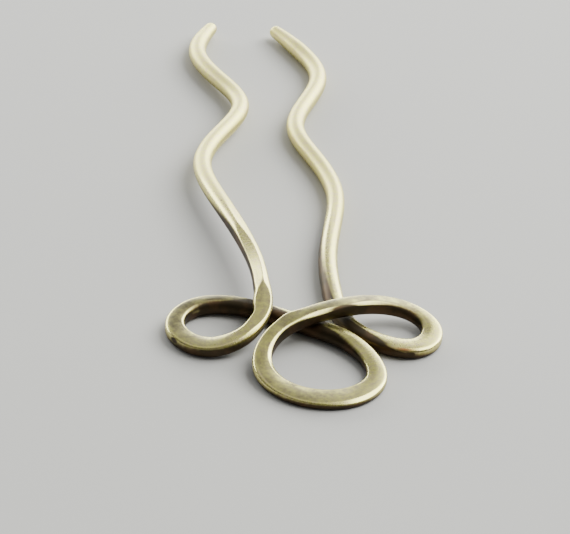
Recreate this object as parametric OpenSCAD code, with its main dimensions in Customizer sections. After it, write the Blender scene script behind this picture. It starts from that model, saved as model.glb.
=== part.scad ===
// Hair fork: one length of round brass wire, bent into three loops at the head and two wavy prongs,
// then hammered so that the loops spread flat. Millimetres.
// The fork lies flat: prongs towards +Y, head towards -Y, left prong and left loop at -X.
// The origin is the middle of its footprint, on the surface that it lies on.

/* [Fork] */
// Length from the prong tips to the front of the middle loop
fork_len = 108; // [95:1:130]
// Width across the two side loops
head_w = 36.4; // [36:0.2:44]

/* [Wire] */
// Diameter of the round wire
wire_d = 2.6; // [2.2:0.1:2.6]
// Thickness that the front of the middle loop is hammered down to
loop_t = 1.1; // [1:0.1:1.8]
// Gap left where one strand lies over another
strand_gap = 0.1; // [0.05:0.05:0.3]

/* [Prong tips] */
// Length over which each tip is filed thinner
tip_taper = 6; // [2:1:12]
// Diameter of the filed tip, just behind its rounded end
tip_d = 2; // [1.2:0.1:2.2]

/* [Hidden] */

// Columns of the route tables. X and Y are where the middle of the wire passes, with Y counted from the neck, where
// the prongs leave the head. RISE is 0 where the wire lies on the surface and 1 where it rides on another strand.
// WIDE is its size across, seen from above, and THICK its size from top to bottom.
X = 0;
Y = 1;
RISE = 2;
WIDE = 3;
THICK = 4;

// The tables follow the wire from the tip of the left prong to the tip of the right one
left_prong = [
    [ -7.9, 80.4, 0.00, 2.6, 2.6],
    [-10.6, 72.0, 0.05, 2.6, 2.6],
    [ -7.8, 62.6, 0.15, 2.6, 2.6],
    [ -4.6, 53.6, 0.25, 2.6, 2.6],
    [ -8.4, 44.2, 0.35, 2.6, 2.6],
    [-11.6, 35.0, 0.45, 2.6, 2.6],
    [-10.2, 25.0, 0.60, 2.6, 2.6],
    [ -7.8, 15.0, 0.75, 2.5, 2.6],
    [ -5.8,  5.5, 0.90, 2.1, 2.5],
    [ -5.2, -1.0, 1.00, 2.7, 2.2],
];
left_loop = [
    [ -5.2, -6.0, 1.00, 2.4, 2.2],
    [ -7.1,-10.7, 0.55, 2.4, 1.9],
    [-11.7,-13.0, 0.10, 3.2, 1.7],
    [-15.6,-11.0, 0.00, 2.9, 1.7],
    [-16.8, -6.8, 0.00, 2.5, 1.9],
    [-13.8, -2.9, 0.00, 2.5, 2.2],
    [ -8.8, -2.7, 0.00, 2.6, 2.3],
    [ -4.2, -4.9, 0.00, 2.6, 2.3],
];
middle_loop = [
    [  0.4, -7.7, 0.00, 2.6, 2.3],
    [  4.8,-11.1, 0.00, 2.6, 2.2],
    [  8.0,-15.6, 0.00, 2.5, 1.8],
    [  8.5,-20.5, 0.00, 2.8, 1.4],
    [  4.8,-24.1, 0.00, 3.8, 1.1],
    [ -0.6,-24.1, 0.00, 3.7, 1.1],
    [ -4.7,-21.1, 0.00, 3.1, 1.4],
    [ -6.0,-16.5, 0.20, 2.5, 1.8],
    [ -3.9,-11.9, 0.70, 2.3, 1.9],
];
right_loop = [
    [  0.4, -9.0, 1.00, 2.5, 1.9],
    [  5.2, -6.7, 1.00, 2.6, 2.0],
    [ 10.0, -4.8, 0.70, 2.5, 2.1],
    [ 14.5, -4.9, 0.25, 2.6, 1.9],
    [ 17.0, -8.5, 0.00, 2.8, 1.7],
    [ 15.0,-12.5, 0.00, 3.1, 1.6],
    [ 10.9,-12.2, 0.00, 2.9, 1.8],
    [  6.9, -8.9, 0.00, 2.6, 2.0],
];
right_prong = [
    [  4.9, -4.2, 0.00, 2.7, 2.1],
    [  4.4,  1.4, 0.00, 2.6, 2.4],
    [  4.6, 10.0, 0.00, 2.6, 2.6],
    [  6.0, 19.4, 0.00, 2.6, 2.6],
    [  6.9, 28.4, 0.00, 2.6, 2.6],
    [  4.8, 38.0, 0.00, 2.6, 2.6],
    [  2.5, 47.6, 0.00, 2.6, 2.6],
    [  5.4, 56.6, 0.00, 2.6, 2.6],
    [  7.8, 65.2, 0.00, 2.6, 2.6],
    [  4.8, 74.2, 0.00, 2.6, 2.6],
    [  2.2, 79.6, 0.00, 2.6, 2.6],
];

// Sizes at which the tables are drawn, and where they have the middle of the fork
drawn_middle_x = 0.1;
drawn_head_w = 36.4;
drawn_head_len = 26.4;
drawn_prong_len = 81.4;
drawn_wire_d = 2.6;
drawn_loop_t = 1.1;

// What turns a drawn size into a real one
head_k = (head_w - wire_d) / (drawn_head_w - drawn_wire_d);
prong_k = (fork_len - drawn_head_len * head_k) / drawn_prong_len;
forging = (wire_d - loop_t) / (drawn_wire_d - drawn_loop_t);
neck_y = drawn_head_len * head_k - fork_len / 2;

// Height that a strand rides up where it crosses over another one, which is hammered a little flat there
crossing_t = wire_d - 0.3 * forging;
crossing_rise = crossing_t + strand_gap;

function place_x(row) = (row[X] - drawn_middle_x) * head_k;
function place_y(row) = neck_y + row[Y] * (row[Y] > 0 ? prong_k : head_k);
function wide(row) = wire_d + (row[WIDE] - drawn_wire_d) * forging;
function thick(row) = wire_d + (row[THICK] - drawn_wire_d) * forging;

// One place on the wire: its middle in X and Y, the height of its underside, its width and its thickness
function station(row) = [place_x(row), place_y(row), row[RISE] * crossing_rise, wide(row), thick(row)];
stations = [for (row = concat(left_prong, left_loop, middle_loop, right_loop, right_prong)) station(row)];
last = len(stations) - 1;

// A smooth cubic through the stations: each one is pushed out a sixth of its bend, and the ends are carried on
// straight, so that the curve starts and stops at the first and last of them
pushed = [
    for (i = [0:last])
        i == 0 || i == last
        ? stations[i]
        : stations[i] + (2 * stations[i] - stations[i - 1] - stations[i + 1]) / 6
];
knots = concat([2 * pushed[0] - pushed[1]], pushed, [2 * pushed[last] - pushed[last - 1]]);
function smooth(i, t) = (
    pow(1 - t, 3) * knots[i]
    + (3 * pow(t, 3) - 6 * pow(t, 2) + 4) * knots[i + 1]
    + (1 + 3 * t + 3 * pow(t, 2) - 3 * pow(t, 3)) * knots[i + 2]
    + pow(t, 3) * knots[i + 3]
) / 6;

// Rings along the wire, closer together round the loops than along the prongs
head_step = 1.1;
prong_step = 1.6;
function middle(s) = [s[0], s[1], max(0, s[2]) + s[4] / 2];
function steps(i) =
    let (run = norm(middle(stations[i + 1]) - middle(stations[i])))
    let (step = max(stations[i][1], stations[i + 1][1]) > neck_y + 6 ? prong_step : head_step)
    ceil(run / step);
body = [
    for (i = [0:last - 1], j = [0:steps(i) - 1]) smooth(i, j / steps(i)),
    smooth(last - 1, 1)
];

// Each tip is filed thinner over its last few millimetres and ends in a half ball, cut into a few rings
ball_turns = [20, 40, 60, 80];
body_last = len(body) - 1;
function heading(i) =
    let (a = middle(body[max(i - 1, 0)]), b = middle(body[min(i + 1, body_last)]))
    (b - a) / norm(b - a);
function from_end(i) = min(
    norm(middle(body[i]) - middle(body[0])),
    norm(middle(body[i]) - middle(body[body_last]))
);
function filed(i) = min(1, (tip_d + (wire_d - tip_d) * from_end(i) / tip_taper) / wire_d);

// The section is round where the wire isn't hammered, and the flatter it gets the sharper its edges are
sides = 16;
forged_edge_r = 0.4;
function edge_radius(width, thickness) =
    let (round_share = pow(max(0, (thickness - loop_t) / (wire_d - loop_t)), 3))
    min(width / 2, thickness / 2, forged_edge_r + (wire_d / 2 - forged_edge_r) * round_share);

// A ring is [middle, heading, width, thickness, edge radius], and stands upright across the wire
function body_ring(i) =
    let (width = body[i][3], thickness = body[i][4])
    [middle(body[i]), heading(i), width * filed(i), thickness * filed(i), edge_radius(width, thickness) * filed(i)];
function ball_ring(i, way, turn) = [
    middle(body[i]) + heading(i) * way * sin(turn) * tip_d / 2,
    heading(i),
    tip_d * cos(turn),
    tip_d * cos(turn),
    tip_d * cos(turn) / 2
];
rings = concat(
    [for (k = [len(ball_turns) - 1:-1:0]) ball_ring(0, -1, ball_turns[k])],
    [for (i = [0:body_last]) body_ring(i)],
    [for (turn = ball_turns) ball_ring(body_last, 1, turn)]
);

// The flats of the section touch its true width and thickness, with the corners drawn round the outside of their arcs
function section_point(ring, k) =
    let (a = (k + 0.5) * 360 / sides)
    let (edge_r = ring[4], corner = edge_r / cos(180 / sides))
    let (up = [0, 0, 1])
    let (across = cross(up, ring[1]) / norm(cross(up, ring[1])))
    ring[0]
    + across * (sign(cos(a)) * (ring[2] / 2 - edge_r) + corner * cos(a))
    + up * (sign(sin(a)) * (ring[3] / 2 - edge_r) + corner * sin(a));

module fork_wire() {
    points = [for (ring = rings, k = [0:sides - 1]) section_point(ring, k)];
    walls = [
        for (i = [0:len(rings) - 2], k = [0:sides - 1])
            let (a = i * sides + k, b = i * sides + (k + 1) % sides)
            each [[a, a + sides, b], [b, a + sides, b + sides]]
    ];
    first_end = [for (k = [0:sides - 1]) k];
    last_end = [for (k = [sides - 1:-1:0]) (len(rings) - 1) * sides + k];
    color("darkkhaki") polyhedron(points = points, faces = concat([first_end, last_end], walls));
}

fork_wire();
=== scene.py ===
# %% [markdown]
# # A hair fork bent from one brass wire
#
# The real fork is a single length of round brass wire. Its maker bends it into three loops and two
# wavy prongs, hammers the loops flat on an anvil, darkens the whole of it in a patina bath, and then
# rubs the patina off wherever a cloth reaches: the tops and the rims turn pale again, while the
# sides of the loops and the places where strands cross stay nearly black. Here that dark colour is
# also painted shade, for the shade that falls on those sides and crossings and the dark things
# they mirror.
#
# This lesson works in a smith's order, on a straight wire first. A straight blank is easy to forge
# in code, because the place along the wire is simply X. Bending comes last, with a Curve modifier.

import math

import bpy
import numpy as np
from mathutils import Euler, Matrix, Vector
from mathutils.kdtree import KDTree


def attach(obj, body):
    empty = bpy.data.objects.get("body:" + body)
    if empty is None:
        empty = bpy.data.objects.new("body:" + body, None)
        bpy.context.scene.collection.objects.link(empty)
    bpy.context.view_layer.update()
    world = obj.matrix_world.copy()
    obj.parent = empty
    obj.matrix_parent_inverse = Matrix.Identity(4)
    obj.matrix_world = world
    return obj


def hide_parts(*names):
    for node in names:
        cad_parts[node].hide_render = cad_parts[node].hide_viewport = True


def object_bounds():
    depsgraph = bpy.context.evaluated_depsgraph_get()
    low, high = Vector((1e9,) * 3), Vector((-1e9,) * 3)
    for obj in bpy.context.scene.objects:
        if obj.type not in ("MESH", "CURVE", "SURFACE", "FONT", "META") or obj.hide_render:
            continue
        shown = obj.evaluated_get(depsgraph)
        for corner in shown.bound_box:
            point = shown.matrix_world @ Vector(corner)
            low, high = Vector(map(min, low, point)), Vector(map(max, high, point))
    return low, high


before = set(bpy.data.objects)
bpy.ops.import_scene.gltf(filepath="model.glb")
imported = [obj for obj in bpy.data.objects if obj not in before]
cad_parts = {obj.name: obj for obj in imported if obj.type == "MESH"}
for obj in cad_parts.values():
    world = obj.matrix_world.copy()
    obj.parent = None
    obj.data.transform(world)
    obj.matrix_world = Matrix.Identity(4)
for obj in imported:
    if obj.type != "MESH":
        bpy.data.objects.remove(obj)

MM = 0.001
cad_low, cad_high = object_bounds()

# %% [markdown]
# ## The camera
#
# The fork lies flat and is seen from 30 degrees above the floor, from its looped end, with a long
# lens that keeps the prongs from shrinking much. The camera stands back from the point that the
# middle of the picture sees, and is rolled a little about its own axis.

# %% Camera
VIEW_TARGET = Vector((-1.22, -17.92, 0.0)) * MM
VIEW_DISTANCE = 437.9 * MM
VIEW_ELEVATION = math.radians(30)
VIEW_AZIMUTH = math.radians(-5.5)
VIEW_ROLL = math.radians(3.2)
LENS = 203.7
NEAREST_SEEN = 0.01


def add_camera():
    """A camera that looks at the target, turned about the upright axis, tilted down and rolled."""
    turned = Euler((math.pi / 2 - VIEW_ELEVATION, 0, VIEW_AZIMUTH)).to_matrix()
    turned = turned @ Matrix.Rotation(VIEW_ROLL, 3, "Z")
    back = turned @ Vector((0, 0, 1))
    bpy.ops.object.camera_add(location=VIEW_TARGET + back * VIEW_DISTANCE, rotation=turned.to_euler())
    camera = bpy.context.object
    camera.name = "view"
    camera.data.lens = LENS
    camera.data.clip_start = NEAREST_SEEN
    bpy.context.scene.camera = camera
    return camera


camera = add_camera()
print("camera stands at, mm:", [round(v / MM, 1) for v in camera.location])

# %% [markdown]
# ## Floor and light
#
# Polished metal shows its surroundings more than its own colour, so the lights are placed by what
# the fork mirrors. Seen from 30 degrees, a flat top mirrors what stands behind it, 30 degrees up.
# The back window ends a little lower than that: flats on the head just miss it and look khaki,
# while every edge that tips back catches it and draws a cream line. The right window is taller, so
# the right loop and all that leans to the right turn pale. A high side window lights the shoulders
# that lean to the front and the right, and a weak ceiling lamp fills the rest.

# %% Floor and light
WINDOW_COLOUR = (0.98, 1.0, 0.94)
ROOM_COLOUR = (0.52, 0.53, 0.52)
ROOM_STRENGTH = 0.3
FLOOR_COLOUR = (0.62, 0.61, 0.61)
FLOOR_SIZE = 6.0
FLOOR_ROUGHNESS = 0.85
FLOOR_SHINE = 0.2


def add_floor():
    """A plain pale floor, wide enough to fill the picture from every side."""
    bpy.ops.object.select_all(action="DESELECT")
    bpy.ops.mesh.primitive_plane_add(size=FLOOR_SIZE)
    floor = bpy.context.object
    floor.name = "floor"
    material = bpy.data.materials.new("plain_floor")
    material.use_nodes = True
    shader = material.node_tree.nodes["Principled BSDF"]
    shader.inputs["Base Color"].default_value = (*FLOOR_COLOUR, 1)
    shader.inputs["Roughness"].default_value = FLOOR_ROUGHNESS
    shader.inputs["Specular IOR Level"].default_value = FLOOR_SHINE
    floor.data.materials.append(material)
    return floor


def add_panel(name, azimuth, elevation, distance, size, power):
    """A soft rectangular light, seen from the fork at the given angles and aimed at it."""
    level = math.cos(math.radians(elevation))
    side, ahead = math.sin(math.radians(azimuth)), math.cos(math.radians(azimuth))
    place = distance * Vector((level * side, level * ahead, math.sin(math.radians(elevation))))
    bpy.ops.object.light_add(type="AREA", location=place)
    panel = bpy.context.object
    panel.name = name
    panel.rotation_euler = place.to_track_quat("Z", "Y").to_euler()
    panel.data.shape = "RECTANGLE"
    panel.data.size, panel.data.size_y = size
    panel.data.energy = power
    panel.data.color = WINDOW_COLOUR
    return panel


add_floor()
add_panel("back_window", azimuth=-21, elevation=13, distance=0.9, size=(1.20, 0.33), power=10.5)
add_panel("right_window", azimuth=42, elevation=19.5, distance=0.8, size=(0.78, 0.52), power=10)
add_panel("side_window", azimuth=72, elevation=46, distance=1.2, size=(0.95, 0.95), power=19)
add_panel("ceiling", azimuth=0, elevation=75, distance=1.6, size=(2.4, 2.0), power=7)

world = bpy.data.worlds.new("room")
bpy.context.scene.world = world
world.use_nodes = True
world.node_tree.nodes["Background"].inputs["Color"].default_value = (*ROOM_COLOUR, 1)
world.node_tree.nodes["Background"].inputs["Strength"].default_value = ROOM_STRENGTH

# %% [markdown]
# ## The route of the wire
#
# The wire never ends between its two tips, so one table follows it the whole way. Its first five
# columns follow the measured model's source, with some rows changed by up to half a millimetre to
# come nearer to the reference picture. X and Y are where the middle of the wire passes, in
# millimetres, with Y counted from the neck. RISE is 1 where it rides over another strand. WIDE and
# THICK are its size across and from top to bottom. The others are for the looks:
#
# - LEAN turns the hammered top, in degrees, until its outer side lies lower.
# - IN_EDGE and OUT_EDGE say how square the section is on the side that faces into a loop and on the
#   other one: 2 is round like fresh wire, 5 is flat with tight shoulders.
# - IN_RUB_AND_SHADE and OUT_RUB_AND_SHADE say how far down each side the polish reaches before the
#   patina and the
#   painted shade of the wall begin: 0.25 ends at the rim, less leaves them over the rim, and more
#   clears the wall below it.
# - TARNISH_AND_SHADE says how much brown film is left on the flat top: 0 leaves none, 1 covers most of
#   it.
#   It is also painted shade: it is set higher on flats that catch less light, and lower where they
#   catch more.

# %% Route table
X, Y, RISE, WIDE, THICK, LEAN, IN_EDGE, OUT_EDGE, IN_RUB_AND_SHADE, OUT_RUB_AND_SHADE, TARNISH_AND_SHADE = range(11)

LEFT_PRONG = [
    (-7.9, 80.4, 0.00, 2.6, 2.6, 0, 2.0, 2.0, 1.60, 1.60, 0.00),
    (-10.6, 72.0, 0.05, 2.6, 2.6, 0, 2.0, 2.0, 1.60, 1.60, 0.00),
    (-7.7, 62.6, 0.15, 2.6, 2.6, 0, 2.0, 2.0, 1.60, 1.60, 0.00),
    (-4.4, 53.6, 0.25, 2.6, 2.6, 0, 2.0, 2.0, 1.60, 1.60, 0.00),
    (-8.3, 44.2, 0.35, 2.6, 2.6, 0, 2.0, 2.0, 1.60, 1.60, 0.00),
    (-11.5, 35.0, 0.45, 2.6, 2.6, 0, 2.0, 2.0, 1.60, 1.60, 0.00),
    (-9.9, 25.0, 0.60, 2.6, 2.6, 0, 2.0, 2.0, 0.60, 1.30, 0.00),
    (-7.4, 15.0, 0.75, 2.5, 2.6, 0, 2.0, 2.1, 0.10, 0.80, 0.20),
    (-5.6, 5.5, 0.90, 2.3, 2.5, 0, 2.0, 2.2, 0.05, 0.70, 0.50),
    (-5.25, -1.0, 1.00, 2.2, 2.4, 0, 2.2, 2.3, 0.10, 0.70, 0.70),
]
LEFT_LOOP = [
    (-5.32, -6.0, 1.00, 2.85, 2.1, 0, 2.3, 2.3, 0.60, 0.50, 0.75),
    (-7.0, -10.8, 0.55, 2.15, 1.9, 0, 2.7, 2.8, 0.30, 0.40, 0.55),
    (-11.7, -13.0, 0.10, 3.2, 1.7, 0, 4.0, 5.0, 0.30, 0.10, 0.85),
    (-15.6, -11.0, 0.00, 2.9, 1.7, 2, 4.0, 3.8, 0.30, 0.35, 0.90),
    (-16.8, -6.8, 0.00, 2.5, 1.9, 1, 4.0, 3.6, -0.10, 0.60, 1.05),
    (-13.8, -2.9, 0.00, 2.5, 2.2, 0, 2.7, 3.5, -0.70, 0.35, 1.05),
    (-8.8, -2.7, 0.00, 2.6, 2.3, 0, 2.1, 3.5, -0.65, 0.35, 1.15),
    (-4.2, -4.9, 0.00, 2.6, 2.3, 0, 2.1, 3.0, -2.60, 0.15, 1.00),
]
MIDDLE_LOOP = [
    (0.4, -7.7, 0.00, 2.6, 2.3, 0, 2.1, 2.6, -1.60, 0.80, 0.50),
    (5.0, -10.9, 0.00, 2.75, 2.3, 0, 2.2, 3.2, -0.55, 0.65, 0.65),
    (8.0, -15.6, 0.00, 2.5, 1.8, 1, 2.2, 4.0, -0.15, 0.30, 0.60),
    (8.5, -20.5, 0.00, 2.8, 1.4, 2, 3.0, 4.0, 0.20, 0.60, 0.55),
    (4.8, -24.2, 0.00, 3.8, 1.2, 0, 3.0, 4.0, 0.60, 0.25, 0.80),
    (-0.6, -24.2, 0.00, 3.7, 1.2, 0, 3.0, 4.5, 0.60, 0.20, 0.90),
    (-4.7, -21.1, 0.00, 3.1, 1.4, 0, 3.4, 3.6, 0.25, 0.45, 0.88),
    (-6.0, -16.5, 0.20, 2.5, 1.8, 0, 4.4, 3.0, -0.10, 0.60, 0.80),
    (-3.9, -11.9, 0.70, 2.35, 1.9, 0, 5.0, 3.4, -0.05, 0.45, 0.75),
]
RIGHT_LOOP = [
    (0.4, -9.0, 1.00, 2.5, 1.9, 0, 3.4, 4.0, -0.05, 0.30, 0.90),
    (5.2, -6.7, 1.00, 2.6, 2.0, 0, 3.6, 4.5, -0.15, 0.30, 0.95),
    (10.0, -4.8, 0.70, 2.5, 2.1, 0, 3.2, 4.5, -0.30, 0.30, 1.05),
    (14.5, -4.9, 0.25, 2.6, 1.9, 2, 2.0, 5.0, -0.60, 0.40, 0.90),
    (17.0, -8.5, 0.00, 2.8, 1.7, 6, 2.4, 5.0, -0.30, 0.60, 0.50),
    (15.0, -12.5, 0.00, 3.1, 1.6, 4, 4.6, 3.2, 0.20, 0.50, 0.42),
    (10.9, -12.2, 0.00, 2.9, 1.8, 0, 4.5, 3.2, 0.25, -0.45, 0.50),
    (6.97, -8.83, 0.00, 2.4, 2.0, 0, 3.2, 2.4, 0.30, -2.40, 0.60),
]
RIGHT_PRONG = [
    (5.0, -4.2, 0.00, 2.75, 2.1, 0, 2.6, 2.2, 0.30, -1.20, 0.80),
    (4.55, 1.4, 0.00, 2.75, 2.4, 0, 2.1, 2.0, 0.70, -0.30, 0.60),
    (4.6, 10.0, 0.00, 2.65, 2.6, 0, 2.0, 2.0, 0.90, -0.25, 0.50),
    (6.1, 19.4, 0.00, 2.5, 2.6, 0, 2.0, 2.0, 1.30, 0.25, 0.35),
    (7.2, 28.4, 0.00, 2.5, 2.6, 0, 2.0, 2.0, 1.60, 1.60, 0.00),
    (5.3, 38.0, 0.00, 2.6, 2.6, 0, 2.0, 2.0, 1.60, 1.60, 0.00),
    (2.6, 47.6, 0.00, 2.6, 2.6, 0, 2.0, 2.0, 1.60, 1.60, 0.00),
    (5.4, 56.6, 0.00, 2.6, 2.6, 0, 2.0, 2.0, 1.60, 1.60, 0.00),
    (7.8, 65.2, 0.00, 2.6, 2.6, 0, 2.0, 2.0, 1.60, 1.60, 0.00),
    (4.8, 74.2, 0.00, 2.6, 2.6, 0, 2.0, 2.0, 1.60, 1.60, 0.00),
    (2.2, 79.6, 0.00, 2.6, 2.6, 0, 2.0, 2.0, 1.60, 1.60, 0.00),
]
ROUTE = LEFT_PRONG + LEFT_LOOP + MIDDLE_LOOP + RIGHT_LOOP + RIGHT_PRONG

WIRE_D = 2.6
CROSSING_RISE = 2.4
MIDDLE_X = 0.1
HEAD_LENGTH = 26.4
neck_y = cad_low.y / MM + HEAD_LENGTH
print("rows in the route:", len(ROUTE), "neck at y =", round(neck_y, 2), "mm")

# %% [markdown]
# ## From rows to one smooth curve
#
# A uniform cubic B-spline bends as evenly as wire does. It only passes near its control points, so
# each row is first pushed outwards by a sixth of its bend, which brings the curve back onto the
# rows. The same sums carry every other column along with the place.

# %% Smooth curve
SAMPLES_PER_ROW = 60
PLACE = slice(0, 3)


def row_values(row):
    """A row with X, Y and the height of the wire's middle in place of its first three columns."""
    middle = row[RISE] * CROSSING_RISE + row[THICK] / 2
    return [row[X] - MIDDLE_X, row[Y] + neck_y, middle, *row[WIDE:]]


def control_points(rows):
    """The B-spline's control points: the rows, pushed outwards, with each end carried on straight."""
    points = rows.copy()
    points[1:-1] += (2 * rows[1:-1] - rows[:-2] - rows[2:]) / 6
    points[:, RISE] = np.maximum(points[:, RISE], points[:, THICK] / 2)
    return np.vstack([2 * points[0] - points[1], points, 2 * points[-1] - points[-2]])


def along(control):
    """Many places along the B-spline, from its first row to its last."""
    t = np.linspace(0, 1, SAMPLES_PER_ROW, endpoint=False)[:, None]
    weights = ((1 - t) ** 3, 3 * t**3 - 6 * t**2 + 4, 1 + 3 * t + 3 * t**2 - 3 * t**3, t**3)
    spans = [
        sum(weight * control[span + k] for k, weight in enumerate(weights)) / 6
        for span in range(len(control) - 3)
    ]
    return np.vstack([*spans, control[-2:-1]])


control = control_points(np.array([row_values(row) for row in ROUTE]))
wire = along(control)
steps = np.linalg.norm(np.diff(wire[:, PLACE], axis=0), axis=1)
run = np.concatenate([[0.0], np.cumsum(steps)])
wire_length = run[-1]
print("length of the wire:", round(wire_length, 1), "mm")


def at_run(where, column):
    """A column of the curve at the given lengths along the wire."""
    return np.interp(where, run, wire[:, column])


# %% [markdown]
# ## The straight blank
#
# The blank starts as a circle with a face in it, standing across the X axis. Extruding that face
# again and again leaves a ring of 24 points at each stop and keeps both ends closed. The stops are
# closer at the two tips, which the maker files to a half ball.

# %% Straight blank
SIDES = 24
RING_STEP = 1.25
TIP_R = 1.0
TIP_TAPER = 6.0
TIP_TURNS = [math.radians(a) for a in (80, 60, 40, 20)]


def ring_stops():
    """Where the rings stand along the blank: a half ball, the wire, and the other half ball."""
    ball = [TIP_R * math.sin(turn) for turn in TIP_TURNS]
    body = np.linspace(0, wire_length, round(wire_length / RING_STEP) + 1)
    return [*(-s for s in ball), *body, *(wire_length + s for s in reversed(ball))]


def add_blank(stops):
    """Extrudes a circle along X, one ring at each stop."""
    bpy.ops.object.select_all(action="DESELECT")
    bpy.ops.mesh.primitive_circle_add(vertices=SIDES, radius=WIRE_D / 2 * MM, fill_type="NGON")
    bpy.ops.transform.rotate(value=math.pi / 2, orient_axis="Y", center_override=(0, 0, 0))
    bpy.ops.transform.translate(value=(stops[0] * MM, 0, 0))
    bpy.ops.object.transform_apply()
    bpy.ops.object.mode_set(mode="EDIT")
    bpy.ops.mesh.select_all(action="SELECT")
    for here, there in zip(stops, stops[1:]):
        bpy.ops.mesh.extrude_region_move(TRANSFORM_OT_translate={"value": ((there - here) * MM, 0, 0)})
    bpy.ops.mesh.select_all(action="SELECT")
    bpy.ops.mesh.normals_make_consistent(inside=False)
    bpy.ops.object.mode_set(mode="OBJECT")
    blank = bpy.context.object
    blank.name = "fork"
    return blank


fork = add_blank(ring_stops())
print("blank:", len(fork.data.vertices), "points,", len(fork.data.polygons), "faces")

# %% [markdown]
# ## Forging the sections
#
# Hammering turns the round section into a flat one with soft shoulders. A superellipse draws every
# state in between with one number: an exponent of 2 is a circle, and the higher it gets the squarer
# the section is. Each point of the blank knows how far along it lies and at which angle round the
# wire, and that is enough to work out where the forged section has it.

# %% Forged sections


def read_points(mesh):
    """The mesh's points as an array of rows, in millimetres."""
    flat = np.empty(len(mesh.vertices) * 3)
    mesh.vertices.foreach_get("co", flat)
    return flat.reshape(-1, 3) / MM


def write_points(mesh, points):
    """Puts the points back, given in millimetres."""
    mesh.vertices.foreach_set("co", (points * MM).ravel())
    mesh.update()


def filed(where):
    """How much of its full size the wire keeps near the tips, and over the half balls beyond them."""
    inside = np.minimum(where, wire_length - where)
    taper = np.minimum(1, (2 * TIP_R + (WIRE_D - 2 * TIP_R) * inside / TIP_TAPER) / WIRE_D)
    ball = np.sqrt(np.maximum(0, TIP_R**2 - np.minimum(inside, 0) ** 2)) * 2 / WIRE_D
    return np.where(inside < 0, ball, taper)


def rounded(part, exponent):
    """A sine or cosine as a superellipse has it."""
    return np.sign(part) * np.abs(part) ** (2 / exponent)


def forge(points):
    """Moves every point of the round blank to its place on the forged section."""
    where = points[:, 0]
    turn = np.arctan2(points[:, 2], points[:, 1])
    size = filed(where)
    width, thickness = at_run(where, WIDE) * size, at_run(where, THICK) * size
    exponent = np.where(np.cos(turn) > 0, at_run(where, OUT_EDGE), at_run(where, IN_EDGE))
    across = rounded(np.cos(turn), exponent) * width / 2
    up = rounded(np.sin(turn), exponent) * thickness / 2
    lean = np.tan(np.radians(at_run(where, LEAN)))
    up -= across * lean * np.maximum(up, 0) * 2 / thickness
    return np.column_stack([where, across, up])


write_points(fork.data, forge(read_points(fork.data)))
print("forged, widest:", round(2 * np.abs(read_points(fork.data)[:, 1]).max(), 2), "mm")

# %% [markdown]
# ## Smooth metal
#
# A ring of 24 points is easy to shape, but far too coarse for a polished surface. Two levels of
# Subdivision Surface give 96 points round the wire and a ring every third of a millimetre. The
# modifier is applied here, because the next steps work on the fine mesh.

# %% Subdivide
SUBDIVISIONS = 2


def apply_modifier(piece, kind, **settings):
    """Adds a modifier to the piece, sets it up and applies it."""
    bpy.ops.object.select_all(action="DESELECT")
    piece.select_set(True)
    bpy.context.view_layer.objects.active = piece
    modifier = piece.modifiers.new(kind.lower(), kind)
    for name, value in settings.items():
        setattr(modifier, name, value)
    bpy.ops.object.modifier_apply(modifier=modifier.name)


apply_modifier(fork, "SUBSURF", levels=SUBDIVISIONS, render_levels=SUBDIVISIONS)
print("fine mesh:", len(fork.data.vertices), "points")

# %% [markdown]
# ## Hammer blows
#
# A hammer leaves flats that catch the light one by one. A blow is a plane that leans to one side by
# its roll and cuts a little into the section: what stands above it is pressed down onto it. The
# plane rises again along the wire, so the flat ends in a point both ways. Positive rolls lean to the
# left of the way the wire runs, which is the outer side on every loop.
#
# The big blows are placed where the real fork shows them. After those the maker planishes the whole
# head with light taps, which come here from a seeded random draw.

# %% Hammer blows
ALONG, LENGTH, ROLL, DEPTH = range(4)

BIG_BLOWS = [
    (47.0, 12.0, 0.0, 0.04),
    (69.0, 15.0, 13.0, 0.14),
    (78.5, 19.0, -20.0, 0.32),
    (79.0, 20.0, 27.0, 0.12),
    (90.6, 9.6, 2.0, 0.36),
    (96.0, 12.0, 42.0, 0.08),
    (150.5, 9.0, 32.0, 0.13),
    (166.5, 14.0, -37.0, 0.10),
    (172.0, 9.0, 82.0, 0.20),
    (178.8, 6.0, -39.0, 0.11),
    (182.0, 9.0, 82.0, 0.12),
    (186.3, 6.0, -36.0, 0.09),
    (222.0, 20.0, -5.0, 0.03),
    (238.0, 24.0, 0.0, 0.08),
]
BLOW_SOFTNESS = 0.04
BLOW_END = 1.5
PLANISHED = (93.0, 216.0)
TAP_STEP = 3.2
TAP_LENGTHS = (4.0, 8.0)
TAP_ROLLS = (3.0, 9.0)
TAP_DEPTHS = (0.015, 0.045)
TAP_STRAY = 1.0
TAP_SEED = 5


def planishing():
    """Light taps along the head, which lean to the one side and the other in turn."""
    draw = np.random.default_rng(TAP_SEED)
    places = np.arange(*PLANISHED, TAP_STEP)
    sides = np.where(np.arange(len(places)) % 2, 1, -1)
    lengths = draw.uniform(*TAP_LENGTHS, len(places))
    rolls = draw.uniform(*TAP_ROLLS, len(places)) * sides
    depths = draw.uniform(*TAP_DEPTHS, len(places))
    places += draw.uniform(-TAP_STRAY, TAP_STRAY, len(places))
    return list(zip(places, lengths, rolls, depths))


def section_reach(where, roll):
    """How far the forged section reaches from its middle in the direction of a roll."""
    exponent = at_run(where, OUT_EDGE if roll > 0 else IN_EDGE)
    power = exponent / (exponent - 1)
    across = np.abs(np.sin(roll)) * at_run(where, WIDE) / 2
    up = np.cos(roll) * at_run(where, THICK) / 2
    return (across**power + up**power) ** (1 / power)


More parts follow.
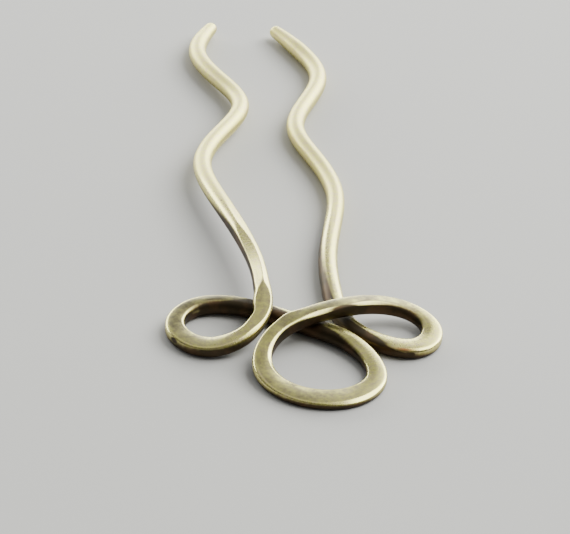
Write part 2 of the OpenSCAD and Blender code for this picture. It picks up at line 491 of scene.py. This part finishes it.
def strike(points, blow):
    """Presses what stands above the blow's plane down onto it."""
    where, across, up = points.T
    roll = math.radians(blow[ROLL])
    away = (where - blow[ALONG]) / (blow[LENGTH] / 2)
    plane = section_reach(where, roll) - blow[DEPTH] * (1 - away**2)
    proud = across * math.sin(roll) + up * math.cos(roll) - plane
    press = (proud + np.sqrt(proud**2 + BLOW_SOFTNESS**2)) / 2
    press[np.abs(away) > BLOW_END] = 0
    return points - press[:, None] * np.array([0, math.sin(roll), math.cos(roll)])


blank_points = read_points(fork.data)
for blow in BIG_BLOWS + planishing():
    blank_points = strike(blank_points, blow)
print("hammer blows:", len(BIG_BLOWS), "big ones and", len(planishing()), "taps")

# %% [markdown]
# ## Small marks
#
# A mark is a soft spot on the wire. Its row starts with its place along, across and up. SPAN is its
# size the same three ways, and PUSH how deep it is dented, or how far it swells where it is
# negative. WEAR_SHADE_SHEEN adds to the polish or takes from it: it keeps real patina in the dents, and
# it also paints shade and a sheen. REDDEN brings out the copper in the brass.
#
# In the order in which the wire runs, the left prong has a line of painted shade on its left and a
# darker stretch before its waist, which is nipped in twice. The left loop has a dark dent in its rim,
# a painted sheen on its inner side, and painted shadow where it is about to pass under the prong.
# The top strand swells on its outer side and has a gap in its bright inner rim. The right loop has a
# dark dent with a red patch beside it, and the right prong starts with a darker patch on its top and
# a line of painted shade on its left.

# %% Small marks
SPAN, PUSH, WEAR_SHADE_SHEEN, REDDEN = range(3, 7)
NEAR_MIDDLE = 0.1

MARKS = [
    # Painted shade: a dark line down the left side of the left prong.
    (78.0, -1.25, 0.50, (9.0, 0.25, 0.5), 0.0, -1.2, 0.0),
    (84.5, -0.40, 1.10, (4.5, 0.7, 0.6), 0.0, -0.48, 0.0),
    (87.0, -1.10, 0.40, (1.3, 0.6, 0.9), 0.12, 0.0, 0.0),
    (91.6, -1.20, 0.20, (1.5, 0.7, 0.9), 0.36, 0.0, 0.0),
    (105.3, 1.38, 0.30, (0.3, 0.30, 0.26), 0.05, -1.3, 0.0),
    # Painted sheen: the next two rows lighten the inner wall of the left loop.
    (112.2, -1.15, 0.45, (2.0, 0.45, 0.45), 0.0, 0.3, 0.0),
    (113.6, -1.25, 0.10, (1.8, 0.35, 0.50), 0.0, 0.8, 0.0),
    # Painted shadow: dark where the left loop runs under the prong.
    (122.6, 0.30, 1.10, (2.2, 1.2, 0.8), 0.0, -1.6, 0.0),
    (175.0, 1.25, 0.30, (1.6, 0.6, 0.9), -0.38, 0.0, 0.0),
    (182.2, -1.14, 0.68, (1.6, 0.5, 0.5), 0.0, -0.9, 0.0),
    (203.2, 1.45, 0.10, (0.24, 0.35, 0.26), 0.05, -1.0, 0.0),
    (203.9, 1.22, 0.65, (0.9, 0.28, 0.3), 0.0, 0.0, 1.0),
    (221.0, 0.60, 1.05, (6.5, 0.4, 0.6), 0.0, -0.4, 0.0),
    # Painted shade: a dark line down the left side of the right prong.
    (226.0, 1.20, 0.30, (9.0, 0.3, 0.6), 0.0, -0.9, 0.0),
]


def depth_in(points, mark):
    """1 in the middle of a mark, falling off softly with the distance from it."""
    away = (points - np.array(mark[PLACE])) / np.array(mark[SPAN])
    return np.exp(-(away**2).sum(axis=1))


def outwards(points):
    """The direction from the middle of the wire to each point, with nothing along the wire."""
    away = points * np.array([0, 1, 1])
    return away / np.maximum(np.linalg.norm(away, axis=1, keepdims=True), NEAR_MIDDLE)


wear_shade_sheen, redness = np.zeros((2, len(blank_points)))
for mark in MARKS:
    inside = depth_in(blank_points, mark)
    blank_points = blank_points - outwards(blank_points) * (inside * mark[PUSH])[:, None]
    # This sum holds real wear and also painted shade and sheen.
    wear_shade_sheen += inside * mark[WEAR_SHADE_SHEEN]
    redness += inside * mark[REDDEN]
write_points(fork.data, blank_points)
print("marks:", len(MARKS), "wear from", wear_shade_sheen.min().round(2), "to", wear_shade_sheen.max().round(2))

# %% [markdown]
# ## The pattern's own ruler
#
# Scratches and stains on wire follow the wire round every bend. Before the blank is bent, each
# point's place on it is stored as an attribute. A texture that reads this attribute is drawn on the
# straight wire and is bent along with it, with no seam.
#
# How far each point faces up is stored now as well. After the bend, a strand that climbs over
# another one leans along its way, and its flat top would no longer count as flat.

# %% Store the places on the blank


def store(piece, name, values):
    """Keeps one number a point as an attribute that materials can read."""
    attribute = piece.data.attributes.new(name, "FLOAT", "POINT")
    attribute.data.foreach_set("value", values.astype(np.float32))


def facing_up(mesh):
    """How far each point of the skin faces up, from 1 on a flat top to -1 underneath."""
    flat = np.empty(len(mesh.vertices) * 3)
    mesh.vertices.foreach_get("normal", flat)
    return flat.reshape(-1, 3)[:, 2]


blank_places = read_points(fork.data)
attribute = fork.data.attributes.new("on_wire", "FLOAT_VECTOR", "POINT")
attribute.data.foreach_set("vector", blank_places.ravel())
store(fork, "flat_top", facing_up(fork.data))
print("stored places for", len(blank_places), "points")

# %% [markdown]
# ## Bending
#
# The route becomes a NURBS path with the same control points, and a Curve modifier lays the blank
# along it. With its twist set to Z-Up the path keeps every section upright, so that what was the
# top of the blank is the top of the fork. The path has done its work then, and is deleted.

# %% Bend the blank along its route
PATH_RESOLUTION = 64


def add_path(points):
    """A uniform cubic NURBS path through the B-spline's control points."""
    bpy.ops.object.select_all(action="DESELECT")
    bpy.ops.curve.primitive_nurbs_path_add()
    path = bpy.context.object
    spline = path.data.splines[0]
    spline.points.add(len(points) - len(spline.points))
    for point, place in zip(spline.points, points):
        point.co = (*(place[PLACE] * MM), 1)
    spline.order_u = 4
    spline.use_endpoint_u = False
    spline.resolution_u = PATH_RESOLUTION
    path.data.resolution_u = PATH_RESOLUTION
    path.data.twist_mode = "Z_UP"
    return path


path = add_path(control)
apply_modifier(fork, "CURVE", object=path, deform_axis="POS_X")
bpy.data.objects.remove(path)
bpy.ops.object.shade_smooth()
bent = read_points(fork.data)
print("fork, mm:", bent.min(axis=0).round(2), bent.max(axis=0).round(2))

# %% [markdown]
# ## Where the patina and the painted shade stay
#
# A polishing cloth reaches what faces up. It goes down the sides only as far as IN_RUB_AND_SHADE and
# OUT_RUB_AND_SHADE say, and it misses what lies close under another strand. What stays dark there is
# patina, and also painted shade for the shade that falls on the walls and under the crossings. The
# material needs
# four numbers a point for this: the reach of the polish and the light, the distance to a strand
# that passes over, and how much brown film and how much redness is left there.

# %% Measure the crossings
OWN_STRETCH = 9.0
FARTHEST = 6.0


def strand_distance(points, where):
    """How far each point is from the middle of the nearest strand that passes over it."""
    tree = KDTree(len(wire))
    for index, row in enumerate(wire):
        tree.insert(row[PLACE], index)
    tree.balance()
    found = np.full(len(points), FARTHEST)
    for index, (point, here) in enumerate(zip(points, where)):
        for _, other, distance in tree.find_range(point, FARTHEST):
            over = wire[other, RISE] > point[2] and abs(run[other] - here) > OWN_STRETCH
            if over and distance < found[index]:
                found[index] = distance
    return found


def polish_and_light_reach(mesh, places):
    """Facing up, plus each side's polish, which also sets painted shade, blended over the middle half.
    """
    where, across, _ = places.T
    outer_share = np.clip(across / at_run(where, WIDE) * 2 + 0.5, 0, 1)
    side = at_run(where, IN_RUB_AND_SHADE) * (1 - outer_share) + at_run(where, OUT_RUB_AND_SHADE) * outer_share
    return facing_up(mesh) + side


# Where this reach is low the walls keep the dark colour: patina, and painted shade.
reach = polish_and_light_reach(fork.data, blank_places) + wear_shade_sheen
# Close under another strand the dark colour stays: patina, and painted shadow from the strand above.
distance = strand_distance(bent, blank_places[:, 0])
store(fork, "polish_and_light_reach", reach)
store(fork, "strand_distance", distance)
# How much film each point keeps; it also paints shade, more of it on flats that catch less light.
store(fork, "film_and_shade", at_run(blank_places[:, 0], TARNISH_AND_SHADE))
store(fork, "redness", redness)
print("polish reach:", reach.min().round(2), "to", reach.max().round(2))
print("nearest strand:", distance.min().round(2), "mm")

# %% [markdown]
# ## Shader sums as Python sums
#
# A patina is a mask worked out from a few numbers. Written as Math nodes by hand such sums are
# unreadable, so a small class wraps a socket and turns each Python operator into a Math node.

# %% Shader helper


class Shade:
    """A socket of a shader's node tree. Sums with it add Math nodes to the tree."""

    def __init__(self, tree, socket=None):
        self.tree = tree
        self.socket = socket

    def fill(self, socket, value):
        """Links a Shade to a socket, or writes a constant into it."""
        if isinstance(value, Shade):
            self.tree.links.new(value.socket, socket)
        else:
            socket.default_value = value

    def node(self, kind, settings, inputs, output=0):
        """Adds a node, sets it up, fills its sockets, and returns one of its outputs."""
        made = self.tree.nodes.new(kind)
        for name, value in settings.items():
            setattr(made, name, value)
        for name, value in inputs.items():
            self.fill(made.inputs[name], value)
        return Shade(self.tree, made.outputs[output])

    def math(self, operation, first, second):
        return self.node("ShaderNodeMath", {"operation": operation}, {0: first, 1: second})

    def __add__(self, other):
        return self.math("ADD", self, other)

    def __radd__(self, other):
        return self.math("ADD", other, self)

    def __sub__(self, other):
        return self.math("SUBTRACT", self, other)

    def __rsub__(self, other):
        return self.math("SUBTRACT", other, self)

    def __mul__(self, other):
        return self.math("MULTIPLY", self, other)

    def __rmul__(self, other):
        return self.math("MULTIPLY", other, self)

    def step(self, low, high):
        """0 below low, 1 above high, and a soft step between them."""
        settings = {"interpolation_type": "SMOOTHSTEP"}
        inputs = {"Value": self, "From Min": low, "From Max": high}
        return self.node("ShaderNodeMapRange", settings, inputs)


# %% [markdown]
# ## Antiqued brass
#
# Three looks share one surface: pale polished brass, a thin olive to brown film that a cloth leaves
# on flat tops, and the dark colour of the walls, which is patina and also painted shade for the dark
# surroundings that the walls would mirror. One mask says how much of that dark colour is gone, from
# how far the polish reaches and how near another strand is, so that the shade under crossings is
# painted too. Its edge is frayed by strokes across the wire, because that is the way the maker's
# file and cloth went. Each pair of numbers below is where a soft step starts and where it ends.

# %% Brass material
PALE_BRASS = (0.77, 0.72, 0.235, 1)
ROSY_BRASS = (0.72, 0.61, 0.32, 1)
FILM_OLIVE = (0.150, 0.134, 0.070, 1)
FILM_BROWN = (0.106, 0.087, 0.048, 1)
COPPER = (0.52, 0.23, 0.09, 1)
# The two wall colours are patina and also painted shade, for the dark things the walls would mirror.
PATINA_AND_SHADE = (0.042, 0.029, 0.013, 1)
RED_PATINA_AND_SHADE = (0.080, 0.045, 0.020, 1)
COLOUR_A, COLOUR_B, COLOUR_OUT = 6, 7, 2

FLAT_TOP = (0.95, 0.997)
POLISHED_UNSHADED = (0.20, 0.80)
# The painted shadow under crossings fades out over this distance from the strand above, in mm.
CLEAR_OF_STRANDS = (1.3, 2.0)
FILMED = (0.75, 1.40)
ALL_ROUND = (1.3, 2.0)
ROSY = (0.42, 0.64)
FILM_BROWNED = (0.12, 0.88)
PATINA_REDDENED = (0.35, 0.65)

BLOTCH_SCALE, MOTTLE_SCALE, GRAIN_SCALE, STROKE_SCALE = 0.42, 1.5, 4.0, 1.0
STROKE_STRETCH = (3.2, 0.5, 0.5)
PATINA_METALLIC = 0.75
PATINA_ROUGHNESS = 0.46
POLISH_SMOOTHS = 0.19
SCRATCH_STRENGTH = 0.15
SCRATCH_DEPTH = 0.03 * MM


def brass_material():
    """Rubbed brass, film on its flats, patina and painted shade on its walls, mixed by what points
    store.
    """
    material = bpy.data.materials.new("antiqued_brass")
    material.use_nodes = True
    tree = material.node_tree
    shader = tree.nodes["Principled BSDF"]
    root = Shade(tree)

    def stored(name, output="Fac"):
        return root.node("ShaderNodeAttribute", {"attribute_name": name}, {}, output)

    def noise(scale, stretch=(1, 1, 1), detail=3.0):
        scaled = root.node("ShaderNodeVectorMath", {"operation": "MULTIPLY"}, {0: places, 1: stretch})
        return root.node("ShaderNodeTexNoise", {}, {"Vector": scaled, "Scale": scale, "Detail": detail})

    def mix(share, first, second):
        inputs = {"Factor": share, COLOUR_A: first, COLOUR_B: second}
        return root.node("ShaderNodeMix", {"data_type": "RGBA"}, inputs, COLOUR_OUT)

    places = stored("on_wire", "Vector")
    distance = stored("strand_distance")
    reach = stored("polish_and_light_reach")
    top = stored("flat_top").step(*FLAT_TOP)

    blotch = noise(BLOTCH_SCALE, detail=2.0)
    mottle = noise(MOTTLE_SCALE)
    grain = noise(GRAIN_SCALE)
    strokes = noise(STROKE_SCALE, stretch=STROKE_STRETCH, detail=2.0)

    ragged = reach + (strokes - 0.5) * 0.20 + (mottle - 0.5) * 0.12
    # Painted shade with the patina: the dark colour stays where the polish doesn't reach and under
    # strands.
    rubbed_unshaded = ragged.step(*POLISHED_UNSHADED) * distance.step(*CLEAR_OF_STRANDS)
    # The film's amount is partly painted shade, set per flat by how much light that flat catches.
    cover = blotch * 0.50 + mottle * 0.35 + grain * 0.15 + stored("film_and_shade") * 0.70
    film = cover.step(*FILMED) * top
    stain = mottle * 0.5 + strokes * 0.4 + grain * 0.1
    all_round = reach.step(*ALL_ROUND)

    rubbed_brass = mix((mottle * 0.6 + grain * 0.4).step(*ROSY), PALE_BRASS, ROSY_BRASS)
    filmed_brass = mix(stain.step(*FILM_BROWNED), FILM_OLIVE, FILM_BROWN)
    brass = mix(stored("redness"), mix(film, rubbed_brass, filmed_brass), COPPER)
    # The dark colour of the walls: patina, and painted shade.
    dark = mix(blotch.step(*PATINA_REDDENED), PATINA_AND_SHADE, RED_PATINA_AND_SHADE)
    root.fill(shader.inputs["Base Color"], mix(rubbed_unshaded, dark, brass))
    root.fill(shader.inputs["Metallic"], PATINA_METALLIC + rubbed_unshaded * (1 - PATINA_METALLIC))
    satin = all_round * 0.17 + film * 0.08 + (strokes - 0.5) * 0.08
    root.fill(shader.inputs["Roughness"], PATINA_ROUGHNESS - rubbed_unshaded * POLISH_SMOOTHS + satin)
    height = (strokes * 0.6 + grain * 0.4) * (1.0 - all_round)
    bump = {"Strength": SCRATCH_STRENGTH, "Distance": SCRATCH_DEPTH, "Height": height}
    root.fill(shader.inputs["Normal"], root.node("ShaderNodeBump", {}, bump))
    return material


fork.data.materials.clear()
fork.data.materials.append(brass_material())
print("material:", fork.data.materials[0].name)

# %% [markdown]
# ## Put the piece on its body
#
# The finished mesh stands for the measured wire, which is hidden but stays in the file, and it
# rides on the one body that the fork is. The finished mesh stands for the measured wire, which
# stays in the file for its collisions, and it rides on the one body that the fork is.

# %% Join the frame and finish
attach(fork, "root")
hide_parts("fork_wire")
